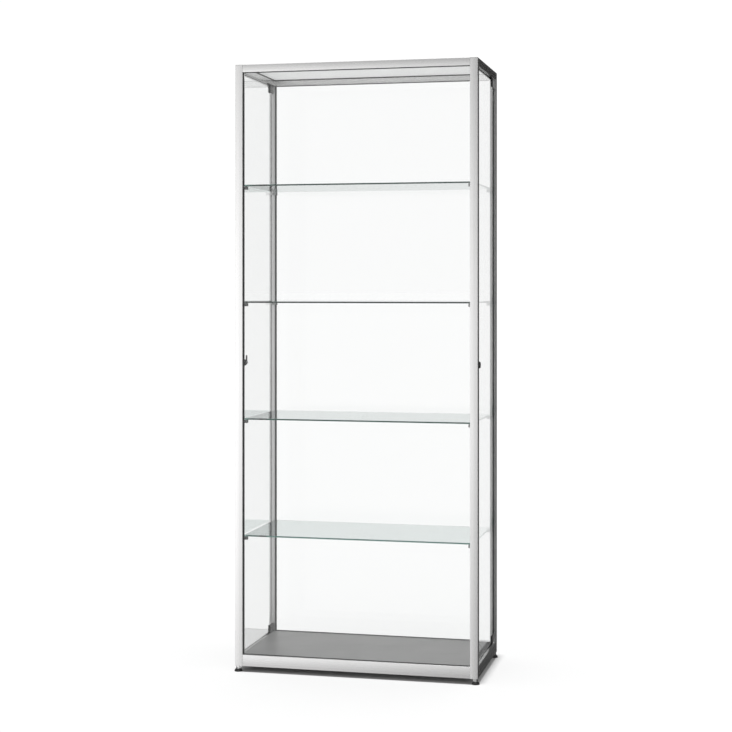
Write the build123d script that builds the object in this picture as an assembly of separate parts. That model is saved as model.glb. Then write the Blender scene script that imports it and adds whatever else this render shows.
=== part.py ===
"""Tall aluminium-framed glass display showcase with two hinged side doors.

Millimetres. The origin is on the floor under the middle of the cabinet.
The front (fixed glass) faces -Y, the side doors are at -X and +X, and +Z is up.
"""
import os

from build123d import *

# ---- driving dimensions --------------------------------------------------
WIDTH = 800.0           # outside of the frame, left to right
DEPTH = 400.0           # outside of the frame, front to back
HEIGHT = 1978.0         # floor to the top of the frame
FOOT_GAP = 18.5         # floor to the underside of the frame

PROFILE = 25.0          # side of the square post, and depth of every rail
TOP_RAIL_H = 25.0
BOTTOM_RAIL_H = 37.0
EDGE_R = 0.8            # rounding of the long outer edges of the extrusions
WALL = 1.6              # extrusion wall
OUTER_WALL = 1.8        # wall of a post on its two outer sides
SLOT_W = 6.0            # glass slot in every extrusion
SLOT_DEPTH = 8.0
SLOT_CENTRE = 12.0      # outer face to the middle of the slot
REBATE_W = 6.0          # step in the rails that carries the two panels

GLASS = 5.0             # thickness of every pane
GLASS_BITE = 6.0        # how far a fixed pane enters a slot
GASKET_LIP = 1.3        # width of the visible bead beside a fixed pane
GASKET_PROUD = 1.2
GLASS_ARRIS = 0.4       # ground edge of a free pane

TOP_PANEL_T = 4.0
BASE_PANEL_T = 16.0
BASE_PANEL_SINK = 1.0   # board surface below the top of the bottom rails
PANEL_GAP = 0.3

SHELF_LEVELS = (440.0, 822.0, 1204.0, 1586.0)   # middle of each shelf
SHELF_W = 754.0
SHELF_D = 348.0
CLIP_X, CLIP_Y, CLIP_H = 15.0, 13.0, 10.0
CLIP_OVER_POST = 6.0    # width of the clip that bears on the post face
CLIP_PAD_R, CLIP_PAD_T = 4.0, 0.8
CLIP_PAD_INSET = 5.0    # pad axis from the inner end of the clip
CLIP_ROUND = 2.0

DOOR_POST_GAP = 2.0     # front edge of a door to the front post
DOOR_REAR_GAP = 3.0     # rear edge of a door to the rear post
HINGE_TO_POST = 8.0     # hinge axis to the rear post
CLAMP_T = 12.0          # hinge clamp: thickness, length ahead of the pin, height
CLAMP_FORE = 24.0
CLAMP_H = 25.0
CLAMP_WEB = 4.0         # part of the clamp beyond the edge of the glass
CLAMP_RAIL_GAP = 1.0
LINER = 0.75            # rubber between clamp and glass
LINER_EDGE = 0.5
LINER_BEZEL = 1.0
GRUB_R, GRUB_PROUD, GRUB_SOCKET_R, GRUB_SOCKET_DEPTH = 2.5, 0.6, 1.4, 1.8
PIN_R = 2.0
PIN_BITE = 6.0          # pin inside its bush
RUNNING = 0.05          # radial clearance of turning and sliding fits
BUSH_L = 18.0
BUSH_FLANGE_R = 4.0

LOCK_SETBACK = 25.0     # lock axis behind the front edge of the door
LOCK_Z = 1005.5
ROSETTE_R, ROSETTE_T, ROSETTE_NECK_R = 13.0, 9.5, 9.0
ROSETTE_RIM_T = 3.0
BARREL_R = 8.0
BARREL_HOLE_GAP = 0.25
KEYWAY_W, KEYWAY_H, KEYWAY_DEPTH = 2.0, 8.0, 6.0
PLUG_R = 5.0
NUT_R, NUT_END_R, NUT_L = 11.5, 8.8, 7.0
CAM_T, CAM_W, CAM_REACH = 2.0, 12.0, 24.0
CAM_GAP = 0.5           # nut to cam, and cam to strike
CAM_SEAT = 0.2          # the tail and the screw head stand clear of the cam
CAM_SCREW_R, CAM_SCREW_H, CAM_SCREW_IN = 4.0, 2.6, 6.0
TAIL = 5.0              # square drive of the plug through the cam

STRIKE_T, STRIKE_H, STRIKE_REACH = 1.5, 30.0, 12.5
STRIKE_LEG_H = 20.0
STRIKE_INSET = 1.5      # strike plate from the inner corner of the post
STRIKE_SCREW_X, STRIKE_SCREW_END = 5.5, 2.5
STOP_X, STOP_Y, STOP_H = 4.0, 10.0, 9.0
STOP_GAP = 0.2

FOOT_PAD_R, FOOT_PAD_TOP_R, FOOT_PAD_H = 13.0, 9.0, 9.0
FOOT_STEM_R, FOOT_STEM_IN = 4.0, 26.0
FOOT_NUT_AF = 13.0
FOOT_RIM_H, FOOT_RIM_CHAMFER = 3.0, 0.8
INSERT_H = 30.0
CAP_T, CAP_PLUG_H = 1.5, 8.0

SCREW_R, SCREW_HEAD_R, SCREW_HEAD_T, SCREW_L = 1.5, 2.6, 2.0, 9.0
DOWEL_R, DOWEL_INSET, DOWEL_REACH = 2.0, 5.0, 5.0
DOWEL_APART = 2.6       # each dowel from the middle height of its plug
PLUG_IN_RAIL = 24.0

# ---- values that follow from them ----------------------------------------
X0, Y0 = WIDTH / 2, DEPTH / 2               # outer faces
XI, YI = X0 - PROFILE, Y0 - PROFILE         # inner faces of posts and rails
Z_FRAME = FOOT_GAP
Z_BASE = Z_FRAME + BOTTOM_RAIL_H            # top of the bottom rails
Z_LID = HEIGHT - TOP_RAIL_H                 # underside of the top rails
DOOR_X = X0 - SLOT_CENTRE                   # middle plane of a side door
PANE_Y = Y0 - SLOT_CENTRE                   # middle plane of a fixed pane
SLOT = (SLOT_CENTRE - SLOT_W / 2, SLOT_CENTRE + SLOT_W / 2)   # from the outer face
CHAMBER = (OUTER_WALL, PROFILE - SLOT_DEPTH - WALL)           # main chamber of a post
FOOT_AT = sum(CHAMBER) / 2                                    # foot axis, from the outer faces
FOOT_X, FOOT_Y = X0 - FOOT_AT, Y0 - FOOT_AT
FOOT_NUT_TOP = FOOT_GAP - RUNNING
HINGE_Y = YI - HINGE_TO_POST
DOOR_FRONT_Y = -YI + DOOR_POST_GAP
DOOR_REAR_Y = YI - DOOR_REAR_GAP
DOOR_Z0 = Z_BASE + CLAMP_RAIL_GAP + CLAMP_WEB + LINER_EDGE
DOOR_Z1 = Z_LID - CLAMP_RAIL_GAP - CLAMP_WEB - LINER_EDGE
LOCK_Y = DOOR_FRONT_Y + LOCK_SETBACK
SIDES = (("left", -1), ("right", 1))
ENDS = (("front", -1), ("rear", 1))


def block(xs, ys, zs):
    """A box between two corners, given as (low, high) for each axis."""
    size = [abs(b - a) for a, b in (xs, ys, zs)]
    low = [min(pair) for pair in (xs, ys, zs)]
    return Pos(*low) * Box(*size, align=(Align.MIN, Align.MIN, Align.MIN))


def rod(radius, start, end):
    """A cylinder from one point to another, along one of the axes."""
    axis = Vector(*end) - Vector(*start)
    return Plane(origin=start, z_dir=axis) * Cylinder(
        radius, axis.length, align=(Align.CENTER, Align.CENTER, Align.MIN))


def taper(radius_0, radius_1, start, end):
    """A cone frustum from one point to another."""
    axis = Vector(*end) - Vector(*start)
    return Plane(origin=start, z_dir=axis) * Cone(
        radius_0, radius_1, axis.length, align=(Align.CENTER, Align.CENTER, Align.MIN))


def placed(shape, sx=1, sy=1):
    """The shape drawn for the right rear corner, moved to another corner."""
    if sx < 0:
        shape = mirror(shape, about=Plane.YZ)
    if sy < 0:
        shape = mirror(shape, about=Plane.XZ)
    return shape


def save(name, *shapes):
    """Write one node: every separate piece in it is a solid of its own."""
    solids = [solid for shape in shapes for solid in shape.solids()]
    node = solids[0] if len(solids) == 1 else Compound(children=solids)
    export_step(node, f"parts/{name}.step")


def corners():
    """Name and signs of the four corners."""
    return [(f"{end}_{side}", sx, sy) for end, sy in ENDS for side, sx in SIDES]


# ---- fasteners that cut their own holes ----------------------------------
def clip_screw(level):
    """Screw that fixes a shelf clip to the post face, right rear corner."""
    x, z = XI + CLIP_OVER_POST / 2, level - GLASS / 2 - CLIP_PAD_T - CLIP_H / 2
    y_head = YI - CLIP_Y / 2
    head = rod(SCREW_HEAD_R, (x, y_head, z), (x, y_head + SCREW_HEAD_T, z))
    return head + rod(SCREW_R, (x, y_head, z), (x, YI + 2 * WALL, z))


def strike_screw(side):
    """Countersunk screw at the upper (+1) or lower (-1) end of a strike, right front."""
    x, z = XI + STRIKE_SCREW_X, LOCK_Z + side * (STRIKE_H / 2 - STRIKE_SCREW_END)
    y = -YI + STRIKE_T
    head = taper(SCREW_HEAD_R, SCREW_R, (x, y, z), (x, y - STRIKE_T, z))
    return head + rod(SCREW_R, (x, y - STRIKE_T, z), (x, y - SCREW_L, z))


def dowel_level(z_mid, along_x):
    """Height of the dowel of an X rail or a Y rail, so that the two pass each other."""
    return z_mid + (-1 if along_x else 1) * DOWEL_APART


def rail_core(top):
    """(low, high) heights of the main chamber of a top or bottom rail."""
    if top:
        return Z_LID + SLOT_DEPTH + WALL, HEIGHT - TOP_PANEL_T - WALL
    return Z_FRAME + WALL, Z_BASE - BASE_PANEL_SINK - BASE_PANEL_T - WALL


def rail_plug(along_x, top):
    """Cast end plug of a rail with its dowel through the post wall, right rear corner."""
    low, high = rail_core(top)
    z = dowel_level((low + high) / 2, along_x)
    core = (Y0 - PROFILE + WALL, Y0 - WALL)
    reach = WALL + DOWEL_REACH
    if along_x:
        plug = block((XI - PLUG_IN_RAIL, XI), core, (low, high))
        y = YI + DOWEL_INSET
        return plug + rod(DOWEL_R, (XI, y, z), (XI + reach, y, z))
    plug = block((X0 - PROFILE + WALL, X0 - WALL), (YI - PLUG_IN_RAIL, YI), (low, high))
    x = XI + DOWEL_INSET
    return plug + rod(DOWEL_R, (x, YI, z), (x, YI + reach, z))


# ---- frame ---------------------------------------------------------------
def long_edges(shape, axis):
    """The four outer edges of a square extrusion, along its length."""
    return shape.edges().filter_by(axis)


def chamber_space(z):
    """Main chamber of the right rear post between two heights."""
    return block((X0 - CHAMBER[1], X0 - CHAMBER[0]), (Y0 - CHAMBER[1], Y0 - CHAMBER[0]), z)


def post():
    """Square corner post, right rear corner: two slots and two chambers."""
    z = (Z_FRAME, HEIGHT - CAP_T)
    body = block((XI, X0), (YI, Y0), z)
    body = fillet(long_edges(body, Axis.Z), EDGE_R)
    body -= block((XI, XI + SLOT_DEPTH), (Y0 - SLOT[1], Y0 - SLOT[0]), z)
    body -= block((X0 - SLOT[1], X0 - SLOT[0]), (YI, YI + SLOT_DEPTH), z)
    body -= chamber_space(z)
    small = PROFILE - SLOT[1] - WALL
    return body - block((XI + WALL, XI + small), (YI + WALL, YI + small), z)


def post_at(sx, sy):
    """One post with the holes for its dowels, clip screws and strike screws."""
    body = post()
    for top in (False, True):
        for along_x in (True, False):
            body -= rail_plug(along_x, top)
    for level in SHELF_LEVELS:
        body -= clip_screw(level)
    if sy < 0:
        for side in (-1, 1):
            body -= placed(strike_screw(side), 1, -1)
    return placed(body, sx, sy)


def post_cap():
    """Plastic cap that closes the top of a post, with its plug in the main chamber."""
    plate = block((XI, X0), (YI, Y0), (HEIGHT - CAP_T, HEIGHT))
    plate = fillet(long_edges(plate, Axis.Z), EDGE_R)
    return plate + chamber_space((HEIGHT - CAP_T - CAP_PLUG_H, HEIGHT - CAP_T))


def rail_section(top):
    """Cross-section of a rail: u runs inwards from the outer face, v runs up."""
    v0, v1 = (Z_LID, HEIGHT) if top else (Z_FRAME, Z_BASE)
    low, high = rail_core(top)

    def cell(us, vs):
        return Pos((us[0] + us[1]) / 2, (vs[0] + vs[1]) / 2) * Rectangle(
            us[1] - us[0], vs[1] - vs[0])

    shape = cell((0, PROFILE), (v0, v1))
    shape = fillet(shape.vertices(), EDGE_R)
    slot_v = (v0, v0 + SLOT_DEPTH) if top else (v1 - SLOT_DEPTH, v1)
    step_v = (v1 - TOP_PANEL_T, v1) if top else (v1 - BASE_PANEL_SINK - BASE_PANEL_T, v1)
    shape -= cell(SLOT, slot_v)
    shape -= cell((PROFILE - REBATE_W, PROFILE), step_v)
    shape -= cell((WALL, PROFILE - WALL), (low, high))
    if top:
        shape -= cell((WALL, SLOT[0] - WALL), (v0 + WALL, v0 + SLOT_DEPTH))
        shape -= cell((SLOT[1] + WALL, PROFILE - WALL), (v0 + WALL, v0 + SLOT_DEPTH))
    else:
        shape -= cell((WALL, SLOT[0] - WALL), (high + WALL, v1 - WALL))
    return shape


def rail(along_x, top):
    """A rail between two posts, on the rear side (along X) or the right side (along Y)."""
    if along_x:
        plane = Plane(origin=(XI, Y0, 0), x_dir=(0, -1, 0), z_dir=(-1, 0, 0))
        length = 2 * XI
    else:
        plane = Plane(origin=(X0, -YI, 0), x_dir=(-1, 0, 0), z_dir=(0, 1, 0))
        length = 2 * YI
    section = plane * rail_section(top)
    return extrude(section, amount=length, dir=plane.z_dir)


def panel(thickness, z_top):
    """Rectangular panel in the rail steps, notched around the four posts."""
    half_x, half_y = XI + REBATE_W - PANEL_GAP, YI + REBATE_W - PANEL_GAP
    board = block((-half_x, half_x), (-half_y, half_y), (z_top - thickness, z_top))
    notch = block((XI - PANEL_GAP, X0), (YI - PANEL_GAP, Y0), (z_top - thickness, z_top))
    for _, sx, sy in corners():
        board -= placed(notch, sx, sy)
    return board


# ---- fixed glazing -------------------------------------------------------
def pane():
    """Fixed pane in the rear slots."""
    half = XI + GLASS_BITE
    return block((-half, half), (PANE_Y - GLASS / 2, PANE_Y + GLASS / 2),
                 (Z_BASE - GLASS_BITE, Z_LID + GLASS_BITE))


def pane_gaskets():
    """Four channel gaskets around the rear pane, each with a bead on both sides."""
    slot = (PANE_Y - SLOT_W / 2, PANE_Y + SLOT_W / 2)
    bead = (PANE_Y - GLASS / 2 - GASKET_LIP, PANE_Y + GLASS / 2 + GASKET_LIP)
    glass = pane()
    bead_z = (Z_BASE + GASKET_PROUD, Z_LID - GASKET_PROUD)
    strips = []
    for z_slot, z_bead in (((Z_BASE - SLOT_DEPTH, Z_BASE), (Z_BASE, bead_z[0])),
                           ((Z_LID, Z_LID + SLOT_DEPTH), (bead_z[1], Z_LID))):
        strip = block((-XI, XI), slot, z_slot) + block((-XI, XI), bead, z_bead)
        strips.append(strip - glass)
    for sx in (-1, 1):
        strip = block((XI, XI + SLOT_DEPTH), slot,
                      (Z_BASE - SLOT_DEPTH, Z_LID + SLOT_DEPTH))
        strip += block((XI - GASKET_PROUD, XI), bead, bead_z)
        strips.append(placed(strip, sx) - glass)
    return strips


# ---- shelves -------------------------------------------------------------
def shelf(level):
    """Plain glass shelf with softened edges."""
    plate = block((-SHELF_W / 2, SHELF_W / 2), (-SHELF_D / 2, SHELF_D / 2),
                  (level - GLASS / 2, level + GLASS / 2))
    return chamfer(plate.edges(), GLASS_ARRIS)


def clip(level):
    """Shelf clip on the post face, right rear corner."""
    top = level - GLASS / 2 - CLIP_PAD_T
    x1 = XI + CLIP_OVER_POST
    body = block((x1 - CLIP_X, x1), (YI - CLIP_Y, YI), (top - CLIP_H, top))
    body = fillet(body.edges().filter_by(Axis.Z).sort_by(Axis.Y)[:2], CLIP_ROUND)
    screw = clip_screw(level)
    access = rod(SCREW_HEAD_R, (XI + CLIP_OVER_POST / 2, YI - CLIP_Y, top - CLIP_H / 2),
                 (XI + CLIP_OVER_POST / 2, YI - CLIP_Y / 2, top - CLIP_H / 2))
    return body - screw - access


def clip_pad(level):
    """Clear rubber button between the clip and the shelf, right rear corner."""
    top = level - GLASS / 2
    x, y = XI + CLIP_OVER_POST - CLIP_X + CLIP_PAD_INSET, YI - CLIP_Y / 2
    return rod(CLIP_PAD_R, (x, y, top - CLIP_PAD_T), (x, y, top))


# ---- side doors (drawn on the right) -------------------------------------
def door_glass():
    """Door pane with rounded edges and the hole for the lock."""
    plate = block((DOOR_X - GLASS / 2, DOOR_X + GLASS / 2), (DOOR_FRONT_Y, DOOR_REAR_Y),
                  (DOOR_Z0, DOOR_Z1))
    plate = chamfer(plate.edges(), GLASS_ARRIS)
    return plate - rod(BARREL_R + BARREL_HOLE_GAP, (DOOR_X - GLASS, LOCK_Y, LOCK_Z),
                       (DOOR_X + GLASS, LOCK_Y, LOCK_Z))


def clamp_heights(top):
    """(low, high) of a clamp, and the level of the glass edge inside it."""
    if top:
        z1 = Z_LID - CLAMP_RAIL_GAP
        return (z1 - CLAMP_H, z1), DOOR_Z1
    z0 = Z_BASE + CLAMP_RAIL_GAP
    return (z0, z0 + CLAMP_H), DOOR_Z0


def clamp_outline(top):
    """Outside of a clamp: straight sides and a half-round rear end about the pin."""
    (low, high), _ = clamp_heights(top)
    half = CLAMP_T / 2
    body = block((DOOR_X - half, DOOR_X + half), (HINGE_Y - CLAMP_FORE, HINGE_Y), (low, high))
    body = fillet(body.edges().filter_by(Axis.Z).sort_by(Axis.Y)[:2], 1.0)
    return body + rod(half, (DOOR_X, HINGE_Y, low), (DOOR_X, HINGE_Y, high))


def clamp_cavity(top):
    """Space for glass and liner between the two cheeks of a clamp."""
    (low, high), _ = clamp_heights(top)
    half = GLASS / 2 + LINER
    zs = (low, high - CLAMP_WEB) if top else (low + CLAMP_WEB, high)
    return block((DOOR_X - half, DOOR_X + half), (HINGE_Y - CLAMP_FORE, YI), zs)


def glass_space(top):
    """The pane's own space near a clamp."""
    (low, high), edge = clamp_heights(top)
    zs = (low, edge) if top else (edge, high)
    return block((DOOR_X - GLASS / 2, DOOR_X + GLASS / 2), (DOOR_FRONT_Y, YI), zs)


def clamp_screw_blanks(top):
    """The space of the two grub screws in the inner cheek."""
    (low, high), _ = clamp_heights(top)
    z = (low + high) / 2 + (-CLAMP_WEB / 2 if top else CLAMP_WEB / 2)
    x0 = DOOR_X - CLAMP_T / 2 - GRUB_PROUD
    x1 = DOOR_X - GLASS / 2 - LINER
    return [rod(GRUB_R, (x0, y, z), (x1, y, z))
            for y in (HINGE_Y - CLAMP_FORE + 7.0, HINGE_Y - 5.0)]


def clamp_screws(top):
    """Two grub screws with hexagon sockets."""
    screws = []
    for blank in clamp_screw_blanks(top):
        mouth = blank.bounding_box().min.X
        middle = blank.center()
        socket = extrude(RegularPolygon(GRUB_SOCKET_R, 6), GRUB_SOCKET_DEPTH)
        screws.append(blank - Pos(mouth, middle.Y, middle.Z) * Rot(0, 90, 0) * socket)
    return screws


def clamp(top):
    """Metal body of a hinge clamp with the hole of its pin."""
    body = clamp_outline(top) - clamp_cavity(top) - hinge_pin(top)
    for screw in clamp_screw_blanks(top):
        body -= screw
    return body


def clamp_liner(top):
    """Rubber channel over the glass edge, with a bezel at the clamp's front end."""
    (low, high), _ = clamp_heights(top)
    channel = (clamp_outline(top) & clamp_cavity(top)) - glass_space(top)
    y = HINGE_Y - CLAMP_FORE
    half = CLAMP_T / 2
    bezel = block((DOOR_X - half, DOOR_X + half), (y - LINER_BEZEL, y), (low, high))
    return channel + (bezel - glass_space(top))


def hinge_pin(top):
    """Steel pin fixed in the clamp's web, turning in the bush of the rail."""
    (low, high), _ = clamp_heights(top)
    if top:
        return rod(PIN_R, (DOOR_X, HINGE_Y, high - CLAMP_WEB), (DOOR_X, HINGE_Y, Z_LID + PIN_BITE))
    return rod(PIN_R, (DOOR_X, HINGE_Y, Z_BASE - PIN_BITE), (DOOR_X, HINGE_Y, low + CLAMP_WEB))


def hinge_bush(top):
    """Plastic bush in the slot of the side rail, with a thrust flange."""
    sign = 1 if top else -1
    face = Z_LID if top else Z_BASE
    body = block((DOOR_X - SLOT_W / 2, DOOR_X + SLOT_W / 2), (YI - BUSH_L, YI),
                 (face, face + sign * SLOT_DEPTH))
    body += rod(BUSH_FLANGE_R, (DOOR_X, HINGE_Y, face),
                (DOOR_X, HINGE_Y, face - sign * (CLAMP_RAIL_GAP - RUNNING)))
    return body - rod(PIN_R + RUNNING, (DOOR_X, HINGE_Y, face - sign * 2 * CLAMP_RAIL_GAP),
                      (DOOR_X, HINGE_Y, face + sign * (PIN_BITE + 0.5)))


# ---- locks (drawn on the right) ------------------------------------------
def lock_point(inwards):
    """Point on the lock axis, a distance inwards from the door's outer face."""
    return (DOOR_X + GLASS / 2 - inwards, LOCK_Y, LOCK_Z)


def lock_housing():
    """Outer rosette and the barrel that passes through the glass."""
    rosette = rod(ROSETTE_R, lock_point(0), lock_point(-ROSETTE_RIM_T))
    rosette += taper(ROSETTE_R, ROSETTE_NECK_R, lock_point(-ROSETTE_RIM_T),
                     lock_point(-ROSETTE_T))
    rosette += rod(BARREL_R, lock_point(0), lock_point(GLASS + NUT_L))
    return rosette - rod(PLUG_R + RUNNING, lock_point(-ROSETTE_T), lock_point(GLASS + NUT_L))


def lock_nut():
    """Conical nut that clamps the lock from the inside of the door."""
    cone = taper(NUT_R, NUT_END_R, lock_point(GLASS), lock_point(GLASS + NUT_L))
    return cone - rod(BARREL_R, lock_point(GLASS), lock_point(GLASS + NUT_L))


def lock_cam_x():
    """(low, high) of the cam across the door, inside the nut."""
    high = DOOR_X - GLASS / 2 - NUT_L - CAM_GAP
    return high - CAM_T, high


def cam_screw():
    """Domed screw that holds the cam on the plug."""
    x = lock_cam_x()[0] - CAM_SEAT
    head = taper(CAM_SCREW_R, CAM_SCREW_R - 1.0, (x, LOCK_Y, LOCK_Z),
                 (x - CAM_SCREW_H, LOCK_Y, LOCK_Z))
    return head + rod(SCREW_R, (x, LOCK_Y, LOCK_Z), (x + CAM_SCREW_IN, LOCK_Y, LOCK_Z))


def lock_plug():
    """Key plug: it turns in the housing and drives the cam with a square tail."""
    shoulder = lock_cam_x()[1] + CAM_SEAT
    body = rod(PLUG_R, lock_point(-ROSETTE_T + CAM_GAP), (shoulder, LOCK_Y, LOCK_Z))
    tail_x = lock_cam_x()[0] - CAM_SEAT
    body += block((tail_x, shoulder), (LOCK_Y - TAIL / 2, LOCK_Y + TAIL / 2),
                  (LOCK_Z - TAIL / 2, LOCK_Z + TAIL / 2))
    outer = lock_point(-ROSETTE_T)[0]
    body -= block((outer - KEYWAY_DEPTH, outer), (LOCK_Y - KEYWAY_W / 2, LOCK_Y + KEYWAY_W / 2),
                  (LOCK_Z - KEYWAY_H / 2, LOCK_Z + KEYWAY_H / 2))
    return body - cam_screw()


def lock_cam():
    """Flat cam, drawn unlocked: it points up, clear of the strike."""
    x = lock_cam_x()
    plate = block(x, (LOCK_Y - CAM_W / 2, LOCK_Y + CAM_W / 2), (LOCK_Z, LOCK_Z + CAM_REACH))
    plate = fillet(plate.edges().filter_by(Axis.X).sort_by(Axis.Z)[-2:], 2.5)
    plate += rod(CAM_W / 2, (x[0], LOCK_Y, LOCK_Z), (x[1], LOCK_Y, LOCK_Z))
    return plate - block(x, (LOCK_Y - TAIL / 2, LOCK_Y + TAIL / 2),
                         (LOCK_Z - TAIL / 2, LOCK_Z + TAIL / 2))


def strike():
    """Angle on the front post: the turned cam lies behind its standing leg."""
    base = block((XI + STRIKE_INSET, X0 - SLOT[1] - CAM_GAP), (-YI, -YI + STRIKE_T),
                 (LOCK_Z - STRIKE_H / 2, LOCK_Z + STRIKE_H / 2))
    x = lock_cam_x()[1] + CAM_GAP
    leg = block((x, x + STRIKE_T), (-YI, -YI + STRIKE_REACH),
                (LOCK_Z - STRIKE_LEG_H / 2, LOCK_Z + STRIKE_LEG_H / 2))
    angle = base + leg
    for side in (-1, 1):
        angle -= strike_screw(side)
    return angle


def door_stop(top):
    """Small buffer on the side rail behind the front edge of the closed door."""
    x1 = DOOR_X - GLASS / 2 - STOP_GAP
    zs = (Z_LID - STOP_H, Z_LID) if top else (Z_BASE, Z_BASE + STOP_H)
    return block((x1 - STOP_X, x1), (DOOR_FRONT_Y, DOOR_FRONT_Y + STOP_Y), zs)


# ---- levelling feet (drawn right rear) -----------------------------------
def foot_pad():
    """Round plastic pad of a levelling foot."""
    base = rod(FOOT_PAD_R, (FOOT_X, FOOT_Y, 0), (FOOT_X, FOOT_Y, FOOT_RIM_H))
    base = chamfer(base.edges().group_by(Axis.Z)[0], FOOT_RIM_CHAMFER)
    return base + taper(FOOT_PAD_R, FOOT_PAD_TOP_R, (FOOT_X, FOOT_Y, FOOT_RIM_H),
                        (FOOT_X, FOOT_Y, FOOT_PAD_H))


def foot_stem():
    """Hexagon and plain-drawn threaded stem of a levelling foot."""
    hexagon = Pos(FOOT_X, FOOT_Y, FOOT_PAD_H) * extrude(
        RegularPolygon(FOOT_NUT_AF / 2, 6, major_radius=False), FOOT_NUT_TOP - FOOT_PAD_H)
    return hexagon + rod(FOOT_STEM_R, (FOOT_X, FOOT_Y, FOOT_NUT_TOP),
                         (FOOT_X, FOOT_Y, Z_FRAME + FOOT_STEM_IN))


def foot_insert():
    """Threaded plug that fills the bottom of the post's main chamber."""
    body = chamber_space((Z_FRAME, Z_FRAME + INSERT_H))
    return body - rod(FOOT_STEM_R + RUNNING, (FOOT_X, FOOT_Y, Z_FRAME),
                      (FOOT_X, FOOT_Y, Z_FRAME + INSERT_H))


# ---- write every node ----------------------------------------------------
def write_frame():
    for name, sx, sy in corners():
        save(f"post_{name}", post_at(sx, sy))
    for level_name, top in (("top", True), ("bottom", False)):
        x_rail, y_rail = rail(True, top), rail(False, top)
        for end, sy in ENDS:
            save(f"{level_name}_rail_{end}", placed(x_rail, 1, sy))
        for side, sx in SIDES:
            save(f"{level_name}_rail_{side}", placed(y_rail, sx, 1))
    plugs = [placed(rail_plug(along_x, top), sx, sy) for _, sx, sy in corners()
             for top in (False, True) for along_x in (True, False)]
    save("rail_connectors", *plugs)
    save("post_caps", *[placed(post_cap(), sx, sy) for _, sx, sy in corners()])
    save("foot_inserts", *[placed(foot_insert(), sx, sy) for _, sx, sy in corners()])
    save("top_panel", panel(TOP_PANEL_T, HEIGHT))
    save("base_panel", panel(BASE_PANEL_T, Z_BASE - BASE_PANEL_SINK))


def write_glazing():
    save("front_glass", placed(pane(), 1, -1))
    save("rear_glass", pane())
    strips = pane_gaskets()
    save("glazing_gaskets", *strips, *[placed(strip, 1, -1) for strip in strips])


def write_shelves():
    for number, level in enumerate(SHELF_LEVELS, start=1):
        save(f"shelf_{number}", shelf(level))
    spots = [(level, sx, sy) for level in SHELF_LEVELS for _, sx, sy in corners()]
    save("shelf_clips", *[placed(clip(level), sx, sy) for level, sx, sy in spots])
    save("shelf_clip_pads", *[placed(clip_pad(level), sx, sy) for level, sx, sy in spots])
    screws = [placed(clip_screw(level), sx, sy) for level, sx, sy in spots]
    screws += [placed(strike_screw(end), sx) for _, sx in SIDES for end in (-1, 1)]
    save("frame_screws", *screws)


def write_doors():
    both = (False, True)
    save("hinge_bushes", *[placed(hinge_bush(top), sx) for _, sx in SIDES for top in both])
    save("door_stops", *[placed(door_stop(top), sx) for _, sx in SIDES for top in both])
    save("lock_strikes", *[placed(strike(), sx) for _, sx in SIDES])
    for side, sx in SIDES:
        save(f"{side}_door_glass", placed(door_glass(), sx))
        save(f"{side}_hinge_clamps", *[placed(clamp(top), sx) for top in both])
        save(f"{side}_clamp_liners", *[placed(clamp_liner(top), sx) for top in both])
        save(f"{side}_hinge_pins", *[placed(hinge_pin(top), sx) for top in both])
        save(f"{side}_clamp_screws",
             *[placed(screw, sx) for top in both for screw in clamp_screws(top)])
        save(f"{side}_lock_housing", placed(lock_housing(), sx))
        save(f"{side}_lock_nut", placed(lock_nut(), sx))
        save(f"{side}_lock_plug", placed(lock_plug(), sx))
        save(f"{side}_lock_cam", placed(lock_cam(), sx))
        save(f"{side}_cam_screw", placed(cam_screw(), sx))


def write_feet():
    for name, sx, sy in corners():
        save(f"foot_pad_{name}", placed(foot_pad(), sx, sy))
        save(f"foot_stem_{name}", placed(foot_stem(), sx, sy))


os.makedirs("parts", exist_ok=True)
write_frame()
write_glazing()
write_shelves()
write_doors()
write_feet()
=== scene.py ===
"""Looks of a tall aluminium-framed glass display showcase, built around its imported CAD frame.

Metres, in the frame of the CAD model: the floor is z = 0, the front pane faces -Y, +Z is up.
"""
import math

import bpy
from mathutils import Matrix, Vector


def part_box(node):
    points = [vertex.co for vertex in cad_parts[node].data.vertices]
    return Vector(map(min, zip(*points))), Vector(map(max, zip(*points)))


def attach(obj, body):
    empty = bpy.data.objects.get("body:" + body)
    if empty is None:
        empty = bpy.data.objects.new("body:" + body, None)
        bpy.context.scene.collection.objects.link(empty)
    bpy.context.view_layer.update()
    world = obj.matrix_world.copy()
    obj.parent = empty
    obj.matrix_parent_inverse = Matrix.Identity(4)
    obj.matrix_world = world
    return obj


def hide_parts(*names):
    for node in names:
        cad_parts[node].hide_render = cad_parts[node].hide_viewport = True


MM = 0.001
SIDES = (("left", -1), ("right", 1))
CORNERS = [(f"{end}_{side}", sx, sy) for end, sy in (("front", -1), ("rear", 1)) for side, sx in SIDES]

# ---- camera ----------------------------------------------------------------
CAMERA_AT = (1.2222, -5.2425, 1.2558)
CAMERA_YAW = 13.212         # degrees to the left of straight ahead
CAMERA_LENS = 79.6          # mm on a sensor 36 mm wide
CAMERA_SHIFT_Y = -0.1088    # the lens is level: the picture is shifted down instead of tilted

# ---- light -----------------------------------------------------------------
BACKDROP = 1.03             # brightness of the white background
MIRRORED = 0.98             # brightness of what clear glass mirrors
SUN_TILT = (0.15, 0.8)      # degrees off the vertical: falls to the right, falls to the rear
SUN_SPREAD = 1.4            # degrees across
SUN_POWER = 3.0
SKY = 0.55                  # what lights matt surfaces from overhead
SKY_FROM, SKY_FULL = 0.15, 0.60     # heights of the unit sky where it starts and is full
FILLS = (("base_panel", 0.0, 1.02), ("top_panel", 180.0, 1.45))      # panel, turn, strength

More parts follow.
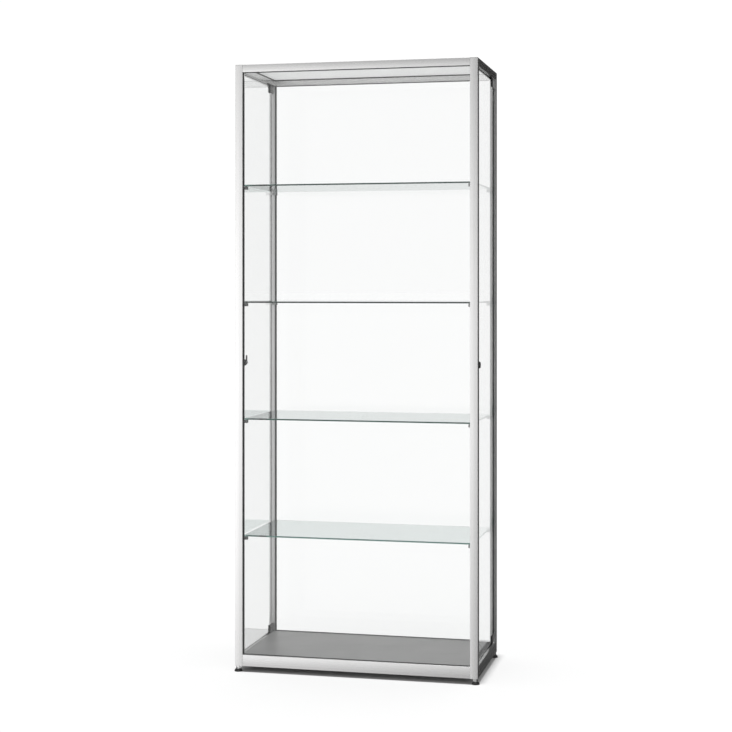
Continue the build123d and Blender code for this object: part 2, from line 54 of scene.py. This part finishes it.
# brightness, then azimuth from the front to the left, elevation, half-width where it fades out,
# half-width where it is full, and how much narrower it is upwards
SOFT_PANELS = (
    (1.22, (29.0, -1.5, 38.0, 8.0, 2.6)),       # long softbox, front left
    (0.40, (37.0, -16.0, 30.0, 6.0, 1.3)),      # its reflection from the floor
    (0.45, (0.0, 60.0, 50.0, 20.0, 1.0)),       # overhead, in front
    (0.45, (95.0, 5.0, 50.0, 15.0, 1.0)),       # left wall
    (0.45, (-80.0, 5.0, 38.0, 12.0, 1.0)),      # right wall
    (0.50, (180.0, 45.0, 50.0, 20.0, 1.0)),     # high, behind
    (0.50, (152.0, 5.0, 34.0, 12.0, 1.0)),      # behind, left
)
ROOM = 0.28                 # the room between the panels
DARK_CORNER = (-166.0, 6.0, 25.0, 11.0, 0.7)
DARK = 0.02

# ---- stage -----------------------------------------------------------------
FLOOR_REACH = 300.0
FLOOR_ALBEDO = 0.735
# where the black cards lie: painted shade of the floor beside the cabinet, seen only in the doors'
# reflections
CARD_X = (0.405, 0.80)
CARD_Y = (-0.25, 0.42)

# ---- black strips shaped as seals: painted shade in slots ------------------
LID_SHADE_H = 3.6 * MM
LID_SHADE_T = 0.9 * MM
LID_LIP = 0.2               # share of a seal's width on either side of its groove
DOOR_LIP = 0.25
# the black strips on the posts, painted shade in the door slots, in mm: from the middle of the door
# outwards, from the inner face of the post into it, and how far they stop short of the rails
DOOR_SHADE_STRIPS = {"front": ((-2.9, 2.9), (1.2, 6.0), 0.5), "rear": ((3.3, 6.4), (-1.6, 0.0), 28.0)}
STRIP_GROOVE = 0.25         # depth of the groove, as a share of the seal
STRIP_STEPS = 6

# ---- edges and threads -----------------------------------------------------
WELD_GAP = 0.002 * MM       # closer vertices of a CAD mesh are one
FLAT_ANGLE = 0.5            # degrees: facets this level with each other are one face
EDGE_ANGLE = 32.0           # degrees: sharper edges are rounded
ROUND_STEPS = 3             # segments of a rounded edge
THREAD_PITCH = 1.25 * MM
THREAD_DEPTH = 0.62 * MM
THREAD_FACETS = 40          # facets in one turn
THREAD_ROWS = 8             # rows in one pitch
THREAD_SLOPE = 1.3          # fall of a flank over half a pitch, in thread depths
THREAD_CREST = 0.15          # width of the flat crest, as a fall that is left out
STEM_R = 3.95 * MM          # over the thread, clear of its bore
HEX_GAP = 0.05 * MM         # hexagon to the frame
HEX_STEPS = 8               # facets on one side of a hexagon
HEX_FACE = 0.95             # turned end face of the hexagon, of its width
HEX_CONE = 30.0             # slope of its turned corners, in degrees
HEX_SHARP = 28.0            # degrees: sharper edges of the spindle are shaded as edges

# ---- finishes --------------------------------------------------------------
# noise cells in a metre, along and across the extrusion
DRAW_LINES = (1.2, 1400.0)
DRAW_BANDS = (0.4, 160.0)
CLOUDS = 3.0                # slow changes along all of the frame
ANODISED = ((0.750, 0.003), (0.775, 0.003))     # darkest and lightest: value and warmth
ANODISED_GLOSS = (0.23, 0.31)                   # roughness
LINE_DEPTH = 0.01 * MM
PANE_TINT = ((0.55, 0.66, 0.62), 6.0)           # what is left in thick glass, density
SHELF_TINT = ((0.08, 0.38, 0.32), 34.0)
GLASS_IOR = 1.48


# ---- node helpers ----------------------------------------------------------
def add(tree, kind, values=None, **settings):
    """A new node. values go into its sockets, as numbers or as links; settings onto the node."""
    made = tree.nodes.new(kind)
    for name, value in settings.items():
        setattr(made, name, value)
    for name, value in (values or {}).items():
        socket = made.inputs[name]
        if isinstance(value, bpy.types.NodeSocket):
            tree.links.new(value, socket)
        else:
            socket.default_value = value
    return made


def new_material(name):
    """An empty material: (material, tree, Material Output)."""
    material = bpy.data.materials.new(name)
    material.use_nodes = True
    tree = material.node_tree
    tree.nodes.clear()
    return material, tree, tree.nodes.new("ShaderNodeOutputMaterial")


def principled(name, values):
    """A material of one Principled shader: (material, tree, shader)."""
    material, tree, output = new_material(name)
    shader = add(tree, "ShaderNodeBsdfPrincipled", values)
    tree.links.new(shader.outputs["BSDF"], output.inputs["Surface"])
    return material, tree, shader


def noise(tree, scale, detail=2.0, roughness=0.5):
    """Noise in the object's own metres. scale is a number, or three for a stretched grain."""
    place = add(tree, "ShaderNodeTexCoord").outputs["Object"]
    if not isinstance(scale, (int, float)):
        place = add(tree, "ShaderNodeMapping", {"Vector": place, "Scale": scale}).outputs["Vector"]
        scale = 1.0
    values = {"Vector": place, "Scale": scale, "Detail": detail, "Roughness": roughness}
    return add(tree, "ShaderNodeTexNoise", values).outputs["Fac"]


def spread(tree, value, low, high, start=0.3, end=0.7):
    """value from start to end, carried over to low to high."""
    values = {"Value": value, "From Min": start, "From Max": end, "To Min": low, "To Max": high}
    return add(tree, "ShaderNodeMapRange", values).outputs["Result"]


def tint(tree, value, dark, light):
    """A colour between dark and light by value."""
    ramp = add(tree, "ShaderNodeValToRGB", {"Fac": value})
    for element, colour in zip(ramp.color_ramp.elements, (dark, light)):
        element.color = (*colour, 1.0)
    ramp.color_ramp.elements[0].position = 0.25
    ramp.color_ramp.elements[1].position = 0.75
    return ramp.outputs["Color"]


def bump(tree, shader, height, distance, strength=1.0):
    """Raises the surface by height times distance in metres."""
    made = add(tree, "ShaderNodeBump", {"Height": height, "Distance": distance, "Strength": strength})
    tree.links.new(made.outputs["Normal"], shader.inputs["Normal"])


def either(tree, a, b):
    """The larger of two values: 1 if either of two ray kinds is met."""
    return add(tree, "ShaderNodeMath", {0: a, 1: b}, operation="MAXIMUM").outputs[0]


def grey(value, warmth=0.0):
    """A neutral colour, slightly warm or cool."""
    return (value * (1 + warmth), value, value * (1 - warmth))


# ---- materials -------------------------------------------------------------
def anodised(axis):
    """Natural anodised aluminium with draw lines along one axis of the extrusion."""
    material, tree, shader = principled(f"anodised_along_{axis}", {"Metallic": 1.0})
    fine, wide = ([along if letter == axis else across for letter in "xyz"]
                  for along, across in (DRAW_LINES, DRAW_BANDS))
    lines = noise(tree, fine, detail=4.0, roughness=0.6)
    bands = noise(tree, wide, detail=2.0)
    clouds = noise(tree, CLOUDS, detail=3.0)
    both = add(tree, "ShaderNodeMath", {0: lines, 1: bands}, operation="ADD").outputs[0]
    all_three = add(tree, "ShaderNodeMath", {0: both, 1: clouds}, operation="ADD").outputs[0]
    share = spread(tree, all_three, 0.0, 1.0, 1.1, 1.9)
    colour = tint(tree, share, *(grey(*tone) for tone in ANODISED))
    tree.links.new(colour, shader.inputs["Base Color"])
    tree.links.new(spread(tree, both, *ANODISED_GLOSS, 0.7, 1.3), shader.inputs["Roughness"])
    bump(tree, shader, lines, LINE_DEPTH, 0.25)
    return material


def satin_metal(name, value, rough, grain=900.0, warmth=0.0):
    """Plated or cast metal with a fine grain and slightly uneven gloss."""
    material, tree, shader = principled(name, {"Metallic": 1.0})
    spots = noise(tree, grain, detail=4.0, roughness=0.6)
    clouds = noise(tree, 60.0, detail=3.0)
    colour = tint(tree, clouds, grey(value * 0.94, warmth), grey(value * 1.04, warmth))
    tree.links.new(colour, shader.inputs["Base Color"])
    tree.links.new(spread(tree, spots, rough * 0.8, rough * 1.2), shader.inputs["Roughness"])
    bump(tree, shader, spots, 0.03 * MM, 0.3)
    return material


def moulded(name, value, rough, grain=2200.0, depth=0.02, warmth=0.0):
    """Moulded plastic or rubber with a fine eroded texture."""
    material, tree, shader = principled(name, {"IOR": 1.47})
    spots = noise(tree, grain, detail=3.0, roughness=0.55)
    clouds = noise(tree, 40.0, detail=3.0)
    colour = tint(tree, clouds, grey(value * 0.86, warmth), grey(value * 1.14, warmth))
    tree.links.new(colour, shader.inputs["Base Color"])
    tree.links.new(spread(tree, spots, rough * 0.85, rough * 1.15), shader.inputs["Roughness"])
    bump(tree, shader, spots, depth * MM, 0.5)
    return material


def extruded_rubber(name, grain, value):
    """Matt rubber profile with a faint mottle."""
    material, tree, shader = principled(name, {"IOR": 1.5})
    spots = noise(tree, grain, detail=3.0)
    colour = tint(tree, spots, grey(value * 0.85), grey(value * 1.2))
    tree.links.new(colour, shader.inputs["Base Color"])
    tree.links.new(spread(tree, spots, 0.45, 0.62), shader.inputs["Roughness"])
    bump(tree, shader, spots, 0.03 * MM, 0.4)
    return material


def float_glass(name, absorbed, density, through):
    """Clear glass, coloured by its thickness.

    Lamps and reflected rays don't bend in it: they pass straight, dimmed to through; a through below the
    glass's own loss paints shade on what lies behind it.
    """
    material, tree, output = new_material(name)
    values = {"Base Color": (*grey(1.0), 1.0), "Roughness": 0.0, "IOR": GLASS_IOR,
              "Transmission Weight": 1.0}
    glass = add(tree, "ShaderNodeBsdfPrincipled", values)
    clear = add(tree, "ShaderNodeBsdfTransparent", {"Color": (*grey(through), 1.0)})
    rays = add(tree, "ShaderNodeLightPath").outputs
    stand_in = either(tree, rays["Is Shadow Ray"], rays["Is Reflection Ray"])
    values = {"Fac": stand_in, 1: glass.outputs["BSDF"], 2: clear.outputs["BSDF"]}
    mix = add(tree, "ShaderNodeMixShader", values)
    tree.links.new(mix.outputs["Shader"], output.inputs["Surface"])
    inside = add(tree, "ShaderNodeVolumeAbsorption", {"Color": (*absorbed, 1.0), "Density": density})
    tree.links.new(inside.outputs["Volume"], output.inputs["Volume"])
    return material


def clear_rubber():
    """Soft clear button, slightly milky."""
    values = {"IOR": 1.45, "Transmission Weight": 0.75, "Base Color": (0.86, 0.88, 0.88, 1.0)}
    material, tree, shader = principled("clear_rubber", values)
    spots = noise(tree, 1500.0, detail=2.0)
    tree.links.new(spread(tree, spots, 0.22, 0.34), shader.inputs["Roughness"])
    return material


def white_panel():
    """White coated ceiling panel with a faint orange-peel surface."""
    material, tree, shader = principled("white_panel", {"IOR": 1.47})
    peel = noise(tree, 420.0, detail=2.0)
    clouds = noise(tree, 5.0, detail=3.0)
    colour = tint(tree, clouds, grey(0.80, 0.004), grey(0.84, 0.004))
    tree.links.new(colour, shader.inputs["Base Color"])
    tree.links.new(spread(tree, peel, 0.40, 0.50), shader.inputs["Roughness"])
    bump(tree, shader, peel, 0.02 * MM, 0.3)
    return material


def grey_melamine():
    """Grey laminate: fine mottled print and a pearl embossing."""
    material, tree, shader = principled("grey_melamine", {"IOR": 1.5})
    print_dots = noise(tree, 1300.0, detail=5.0, roughness=0.75)
    clouds = noise(tree, 9.0, detail=4.0)
    pearl = noise(tree, 700.0, detail=3.0, roughness=0.5)
    both = add(tree, "ShaderNodeMath", {0: print_dots, 1: clouds}, operation="ADD").outputs[0]
    colour = tint(tree, spread(tree, both, 0.0, 1.0, 0.75, 1.25), grey(0.300, 0.006), grey(0.345, 0.006))
    tree.links.new(colour, shader.inputs["Base Color"])
    tree.links.new(spread(tree, pearl, 0.36, 0.50), shader.inputs["Roughness"])
    bump(tree, shader, pearl, 0.03 * MM, 0.4)
    return material


def make_materials():
    """Every finish by name."""
    return {
        "x": anodised("x"),
        "y": anodised("y"),
        "z": anodised("z"),
        "cast": satin_metal("cast_nickel", 0.56, 0.42, grain=1400.0),
        "clamp": satin_metal("clamp_satin", 0.58, 0.36),
        "zinc": satin_metal("bright_zinc", 0.66, 0.24, warmth=0.008),
        "chrome": satin_metal("polished_chrome", 0.82, 0.09, grain=2500.0),
        "lock": moulded("lock_black", 0.020, 0.33, grain=1800.0),
        "grey_plastic": moulded("grey_plastic", 0.42, 0.52),
        "black_plastic": moulded("black_plastic", 0.028, 0.48),
        "foot": moulded("foot_black", 0.016, 0.30, grain=900.0),
        "rubber": extruded_rubber("black_rubber", 240.0, 0.030),
        "gasket": extruded_rubber("grey_rubber", 200.0, 0.110),
        "button": clear_rubber(),
        # painted shade: the front and door glass dim lamps and reflected rays to 0.74, the rear glass to
        # 0.93, darkening the inside and the rear posts seen through them
        "pane": float_glass("float_glass_painted_shade", *PANE_TINT, 0.74),
        "rear_pane": float_glass("rear_float_glass", *PANE_TINT, 0.93),
        "shelf": float_glass("shelf_float_glass", *SHELF_TINT, 0.955),
        "lid": white_panel(),
        "board": grey_melamine(),
    }


# ---- carried-over CAD nodes ------------------------------------------------
def finish_of(node):
    """The name of a CAD node's finish, and how far its edges are rounded, in mm."""
    parts = node.split("_")
    if parts[0] == "post":
        return ("grey_plastic", 0.4) if node == "post_caps" else ("z", 0.25)
    if "rail" in parts and node != "rail_connectors":
        return ("x" if parts[-1] in ("front", "rear") else "y"), 0.25
    endings = {
        "rail_connectors": ("cast", 0.4), "shelf_clips": ("cast", 0.7), "shelf_clip_pads": ("button", 0.2),
        "hinge_clamps": ("clamp", 0.5), "clamp_liners": ("rubber", 0.12), "clamp_screws": ("zinc", 0.15),
        "hinge_pins": ("zinc", 0.3), "hinge_bushes": ("black_plastic", 0.15), "frame_screws": ("zinc", 0.2),
        "lock_housing": ("lock", 0.5), "lock_nut": ("lock", 0.4), "lock_plug": ("chrome", 0.2),
        "lock_cam": ("zinc", 0.25), "cam_screw": ("chrome", 0.35), "lock_strikes": ("zinc", 0.25),
        "door_stops": ("black_plastic", 0.6), "foot_inserts": ("grey_plastic", 0.3),
        "glazing_gaskets": ("gasket", 0.3), "top_panel": ("lid", 0.3), "base_panel": ("board", 0.4),
        "front_glass": ("pane", 0.0), "rear_glass": ("rear_pane", 0.0), "door_glass": ("pane", 0.0),
    }
    for ending, finish in endings.items():
        if node.endswith(ending):
            return finish
    if node.startswith("shelf_"):
        return "shelf", 0.0
    return ("foot", 0.3) if "pad" in parts else ("chrome", 0.3)


def dress(node, obj, materials):
    """Gives a CAD node its finish, and rounds its edges without touching its own mesh."""
    finish, rounding = finish_of(node)
    obj.data.materials.clear()
    obj.data.materials.append(materials[finish])
    if "custom_normal" in obj.data.attributes:
        obj.data.attributes.remove(obj.data.attributes["custom_normal"])
    weld = obj.modifiers.new("weld", "WELD")
    weld.merge_threshold = WELD_GAP
    if not rounding:
        obj.data.shade_flat()
        return
    obj.data.shade_smooth()
    flat = obj.modifiers.new("flat_faces", "DECIMATE")
    flat.decimate_type = "DISSOLVE"
    flat.angle_limit = math.radians(FLAT_ANGLE)
    soft = obj.modifiers.new("soft_edges", "BEVEL")
    soft.width = rounding * MM
    soft.segments = ROUND_STEPS
    soft.limit_method = "ANGLE"
    soft.angle_limit = math.radians(EDGE_ANGLE)
    soft.harden_normals = True


# ---- pieces made here ------------------------------------------------------
def new_piece(name, verts, faces, material, body, smooth=True):
    """A mesh that rides on a body."""
    mesh = bpy.data.meshes.new(name)
    mesh.from_pydata(verts, [], faces)
    mesh.validate()
    mesh.materials.append(material)
    mesh.polygons.foreach_set("use_smooth", [smooth] * len(mesh.polygons))
    piece = bpy.data.objects.new(name, mesh)
    bpy.context.scene.collection.objects.link(piece)
    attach(piece, body)
    return piece


def close_rings(rings):
    """Vertices and faces of a closed skin over rings of equal length, from the lowest to the highest."""
    count = len(rings[0])
    verts = [point for ring in rings for point in ring]
    faces = []
    for row in range(len(rings) - 1):
        for i in range(count):
            j = (i + 1) % count
            low, high = row * count, (row + 1) * count
            faces.append((low + i, low + j, high + j, high + i))
    faces.append(tuple(range(count))[::-1])
    faces.append(tuple(range(len(verts) - count, len(verts))))
    return verts, faces


def hexagon_rings(centre, low, high, flat):
    """A hexagon bar whose corners are turned off to a cone at both ends. flat: half its width."""
    angles = [2 * math.pi * i / (6 * HEX_STEPS) for i in range(6 * HEX_STEPS)]
    reach = [flat / math.cos(a % (math.pi / 3) - math.pi / 6) for a in angles]
    turned = flat * HEX_FACE
    rings = []
    for end, inward in ((low, 1), (high, -1)):
        drops = [(r - turned) * math.tan(math.radians(HEX_CONE)) for r in reach]
        edge = [(centre[0] + r * math.cos(a), centre[1] + r * math.sin(a), end + inward * drop)
                for a, r, drop in zip(angles, reach, drops)]
        face = [(centre[0] + turned * math.cos(a), centre[1] + turned * math.sin(a), end) for a in angles]
        rings += [face, edge] if inward > 0 else [edge, face]
    return rings


def thread_rings(centre, low, high, radius):
    """A screw thread as rings whose radius follows the helix."""
    rows = round((high - low) / THREAD_PITCH * THREAD_ROWS)
    rings = []
    for row in range(rows + 1):
        z = low + (high - low) * row / rows
        fade = min(1.0, (high - z) / THREAD_PITCH, (z - low) / THREAD_PITCH)
        ring = []
        for i in range(THREAD_FACETS):
            turn = i / THREAD_FACETS
            across = abs(((z - low) / THREAD_PITCH - turn) % 1.0 - 0.5) * 2.0
            below = min(1.0, max(0.0, across * THREAD_SLOPE - THREAD_CREST))
            r = radius - THREAD_DEPTH * (1.0 - fade * (1.0 - below))
            ring.append((centre[0] + r * math.cos(2 * math.pi * turn),
                         centre[1] + r * math.sin(2 * math.pi * turn), z))
        rings.append(ring)
    return rings


def make_feet(materials):
    """Threaded spindles with a hexagon, in place of the plain ones."""
    for corner, _, _ in CORNERS:
        node = f"foot_stem_{corner}"
        low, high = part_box(node)
        centre = [(a + b) / 2 for a, b in zip(low, high)][:2]
        flat = (high[1] - low[1]) / 2
        pad_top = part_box(f"foot_pad_{corner}")[1][2]
        hex_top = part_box(f"post_{corner}")[0][2] - HEX_GAP
        hexagon = close_rings(hexagon_rings(centre, pad_top, hex_top, flat))
        thread = close_rings(thread_rings(centre, hex_top - THREAD_PITCH, high[2], STEM_R))
        stem = new_piece(f"threaded_stem_{corner}", *join([hexagon, thread]), materials["chrome"],
                         f"foot_{corner}")
        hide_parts(node)
        stem.data.set_sharp_from_angle(angle=math.radians(HEX_SHARP))


def strip(low, high, lip, toward):
    """A strip shaped as a seal between two corners, with a groove between two lips. Vertices and faces.

    toward is the axis that the groove faces, 0 or 1, and the side, -1 or 1.
    """
    out, side = toward
    sizes = [b - a for a, b in zip(low, high)]
    along = sizes.index(max(sizes))
    across = 3 - along - out
    section = [(0.0, 0.0), (0.0, 1.0), (lip, 1.0)]
    for i in range(1, STRIP_STEPS):
        share = i / STRIP_STEPS
        section.append((lip + (1 - 2 * lip) * share, 1 - STRIP_GROOVE * math.sin(math.pi * share)))
    section += [(1 - lip, 1.0), (1.0, 1.0), (1.0, 0.0)]
    rings = []
    for end in (low[along], high[along]):
        ring = []
        for u, v in section:
            point = [0.0, 0.0, 0.0]
            point[along] = end
            point[across] = low[across] + u * sizes[across]
            point[out] = (low[out] if side > 0 else high[out]) + side * v * sizes[out]
            ring.append(tuple(point))
        rings.append(ring)
    return close_rings(rings)


def join(parts):
    """One list of vertices and faces out of several."""
    verts, faces = [], []
    for more_verts, more_faces in parts:
        faces += [tuple(i + len(verts) for i in face) for face in more_faces]
        verts += more_verts
    return verts, faces


def make_slot_shade_strips(materials):
    """Black strips shaped as seals under the edge of the top panel and on the posts beside the doors:
    painted shade in these slots.
    """
    inner_x, inner_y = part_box("post_rear_right")[0][:2]
    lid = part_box("top_panel")[0][2]
    parts = []
    for s in (-1, 1):
        near, far = sorted((s * (inner_y - LID_SHADE_T), s * inner_y))
        parts.append(strip((-inner_x, near, lid - LID_SHADE_H), (inner_x, far, lid), LID_LIP, (1, -s)))
        near, far = sorted((s * (inner_x - LID_SHADE_T), s * inner_x))
        parts.append(strip((near, -inner_y, lid - LID_SHADE_H), (far, inner_y, lid), LID_LIP, (0, -s)))
    # painted shade: a black strip where the lid meets the rails, in place of the shadow in that joint
    lid_shade_strip = new_piece("lid_shade_strip", *join(parts), materials["rubber"], "frame", smooth=False)

    bottom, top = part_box("bottom_rail_rear")[1][2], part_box("top_rail_rear")[0][2]
    middle = sum(corner[0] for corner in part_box("right_door_glass")) / 2
    parts = []
    for corner, sx, sy in CORNERS:
        across, depth, short = DOOR_SHADE_STRIPS[corner.split("_")[0]]
        xs = sorted(sx * (middle + value * MM) for value in across)
        ys = sorted(sy * (inner_y + value * MM) for value in depth)
        zs = (bottom + short * MM, top - short * MM)
        parts.append(strip((xs[0], ys[0], zs[0]), (xs[1], ys[1], zs[1]), DOOR_LIP, (1, -sy)))
    # painted shade: black strips in the door slots of the posts, in place of the shadow in the slots
    door_shade_strips = new_piece("door_shade_strips", *join(parts), materials["rubber"], "frame", smooth=False)


# ---- stage -----------------------------------------------------------------
def flat_sheet(name, low, high, height, material):
    """A level sheet between two corners, as part of the stage."""
    mesh = bpy.data.meshes.new(name)
    corners = [(low[0], low[1]), (high[0], low[1]), (high[0], high[1]), (low[0], high[1])]
    mesh.from_pydata([(x, y, height) for x, y in corners], [], [(0, 1, 2, 3)])
    mesh.materials.append(material)
    sheet = bpy.data.objects.new(name, mesh)
    bpy.context.scene.collection.objects.link(sheet)
    return sheet


def white_floor():
    """Plain pale floor out to the horizon."""
    values = {"Base Color": (*grey(FLOOR_ALBEDO), 1.0), "Roughness": 0.9, "Specular IOR Level": 0.0}
    floor = flat_sheet("floor", (-FLOOR_REACH, -FLOOR_REACH), (FLOOR_REACH, FLOOR_REACH), 0.0,
                       principled("floor_white", values)[0])
    floor.visible_glossy = False


def floor_shade_cards():
    """Black cards on the floor beside the doors, seen only in reflections: painted shade standing in for
    the shaded floor beside the cabinet that the doors mirror.
    """
    black = principled("painted_floor_shade", {"Base Color": (*grey(0.02), 1.0), "Roughness": 1.0})[0]
    for side, sx in SIDES:
        edges = sorted(sx * x for x in CARD_X)
        card = flat_sheet(f"card_{side}", (edges[0], CARD_Y[0]), (edges[1], CARD_Y[1]), 1.0 * MM, black)
        card.visible_camera = card.visible_diffuse = card.visible_shadow = False
        card.visible_transmission = False


def direction(azimuth, elevation):
    """Unit vector: azimuth from the front towards the left, elevation above the horizon, in degrees."""
    a, e = math.radians(azimuth), math.radians(elevation)
    return (-math.sin(a) * math.cos(e), -math.cos(a) * math.cos(e), math.sin(e))


def lobe(tree, look, panel):
    """How much of a soft panel lies in a direction: 1 in its middle, 0 outside."""
    azimuth, elevation, outer, inner, squash = panel
    stretch = (1.0, 1.0, squash)
    flat = add(tree, "ShaderNodeVectorMath", {0: look, 1: stretch}, operation="MULTIPLY").outputs["Vector"]
    unit = add(tree, "ShaderNodeVectorMath", {0: flat}, operation="NORMALIZE").outputs["Vector"]
    middle = (Vector(direction(azimuth, elevation)) * Vector(stretch)).normalized()
    near = add(tree, "ShaderNodeVectorMath", {0: unit, 1: middle}, operation="DOT_PRODUCT").outputs["Value"]
    ends = math.cos(math.radians(outer)), math.cos(math.radians(inner))
    values = {"Value": near, "From Min": ends[0], "From Max": ends[1], "To Min": 0.0, "To Max": 1.0}
    return add(tree, "ShaderNodeMapRange", values, interpolation_type="SMOOTHERSTEP").outputs["Result"]


def mixed(tree, share, a, b):
    """a where share is 0, b where it is 1."""
    values = {"Factor": share, "A": a, "B": b}
    return add(tree, "ShaderNodeMix", values, data_type="FLOAT").outputs["Result"]


def studio_world():
    """White behind the glass, soft panels and a dark corner for metal, a sky for matt surfaces."""
    world = bpy.data.worlds.new("studio")
    bpy.context.scene.world = world
    world.use_nodes = True
    world.cycles.sampling_method = "NONE"
    tree = world.node_tree
    tree.nodes.clear()
    look = add(tree, "ShaderNodeTexCoord").outputs["Generated"]
    room = ROOM
    for brightness, panel in SOFT_PANELS:
        room = add(tree, "ShaderNodeMath", {0: lobe(tree, look, panel), 1: brightness, 2: room},
                   operation="MULTIPLY_ADD").outputs[0]
    room = mixed(tree, lobe(tree, look, DARK_CORNER), room, DARK)
    height = add(tree, "ShaderNodeSeparateXYZ", {"Vector": look}).outputs["Z"]
    sky = spread(tree, height, 0.0, SKY, SKY_FROM, SKY_FULL)
    rays = add(tree, "ShaderNodeLightPath").outputs
    strength = mixed(tree, rays["Is Glossy Ray"], sky, mixed(tree, rays["Is Singular Ray"], room, MIRRORED))
    seen = either(tree, rays["Is Camera Ray"], rays["Is Transmission Ray"])
    strength = mixed(tree, seen, strength, BACKDROP)
    light = add(tree, "ShaderNodeBackground", {"Color": (1.0, 1.0, 1.0, 1.0), "Strength": strength})
    output = add(tree, "ShaderNodeOutputWorld")
    tree.links.new(light.outputs["Background"], output.inputs["Surface"])


def add_light(name, kind, location, rotation, **settings):
    """A lamp. settings go onto its data."""
    data = bpy.data.lights.new(name, kind)
    for key, value in settings.items():
        setattr(data, key, value)
    lamp = bpy.data.objects.new(name, data)
    lamp.location = location
    lamp.rotation_euler = rotation
    bpy.context.scene.collection.objects.link(lamp)
    return lamp


def studio_lights(nodes):
    """A soft overhead sun that keeps the shadow under the cabinet, and a fill for its inside."""
    right, back = (math.radians(angle) for angle in SUN_TILT)
    add_light("overhead", "SUN", (0, 0, 4), (back, -right, 0), energy=SUN_POWER,
              angle=math.radians(SUN_SPREAD))
    for panel, turn, strength in FILLS:
        only = bpy.data.collections.new(f"only_{panel}")
        only.objects.link(nodes[panel])
        fill = add_light(f"fill_{panel}", "SUN", (0, 0, 1), (math.radians(turn), 0, 0), energy=strength)
        fill.light_linking.receiver_collection = only
        fill.light_linking.blocker_collection = only


def make_camera():
    """Level camera, in front and to the right."""
    data = bpy.data.cameras.new("camera")
    data.sensor_width = 36.0
    data.lens = CAMERA_LENS
    data.shift_y = CAMERA_SHIFT_Y
    data.clip_end = 2 * FLOOR_REACH
    camera = bpy.data.objects.new("camera", data)
    camera.location = CAMERA_AT
    camera.rotation_euler = (math.radians(90), 0, math.radians(CAMERA_YAW))
    bpy.context.scene.collection.objects.link(camera)
    bpy.context.scene.camera = camera


# ---- build -----------------------------------------------------------------
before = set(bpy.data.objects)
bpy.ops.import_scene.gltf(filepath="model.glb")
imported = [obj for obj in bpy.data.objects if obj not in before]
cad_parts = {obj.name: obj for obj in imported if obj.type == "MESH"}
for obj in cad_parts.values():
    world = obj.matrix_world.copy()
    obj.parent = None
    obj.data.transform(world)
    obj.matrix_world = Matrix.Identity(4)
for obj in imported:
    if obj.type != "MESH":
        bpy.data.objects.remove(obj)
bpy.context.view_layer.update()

materials = make_materials()
for node_name, node_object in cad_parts.items():
    dress(node_name, node_object, materials)

make_feet(materials)
make_slot_shade_strips(materials)
white_floor()
floor_shade_cards()
studio_world()
studio_lights(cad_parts)
make_camera()
bpy.context.scene.view_settings.view_transform = "Standard"
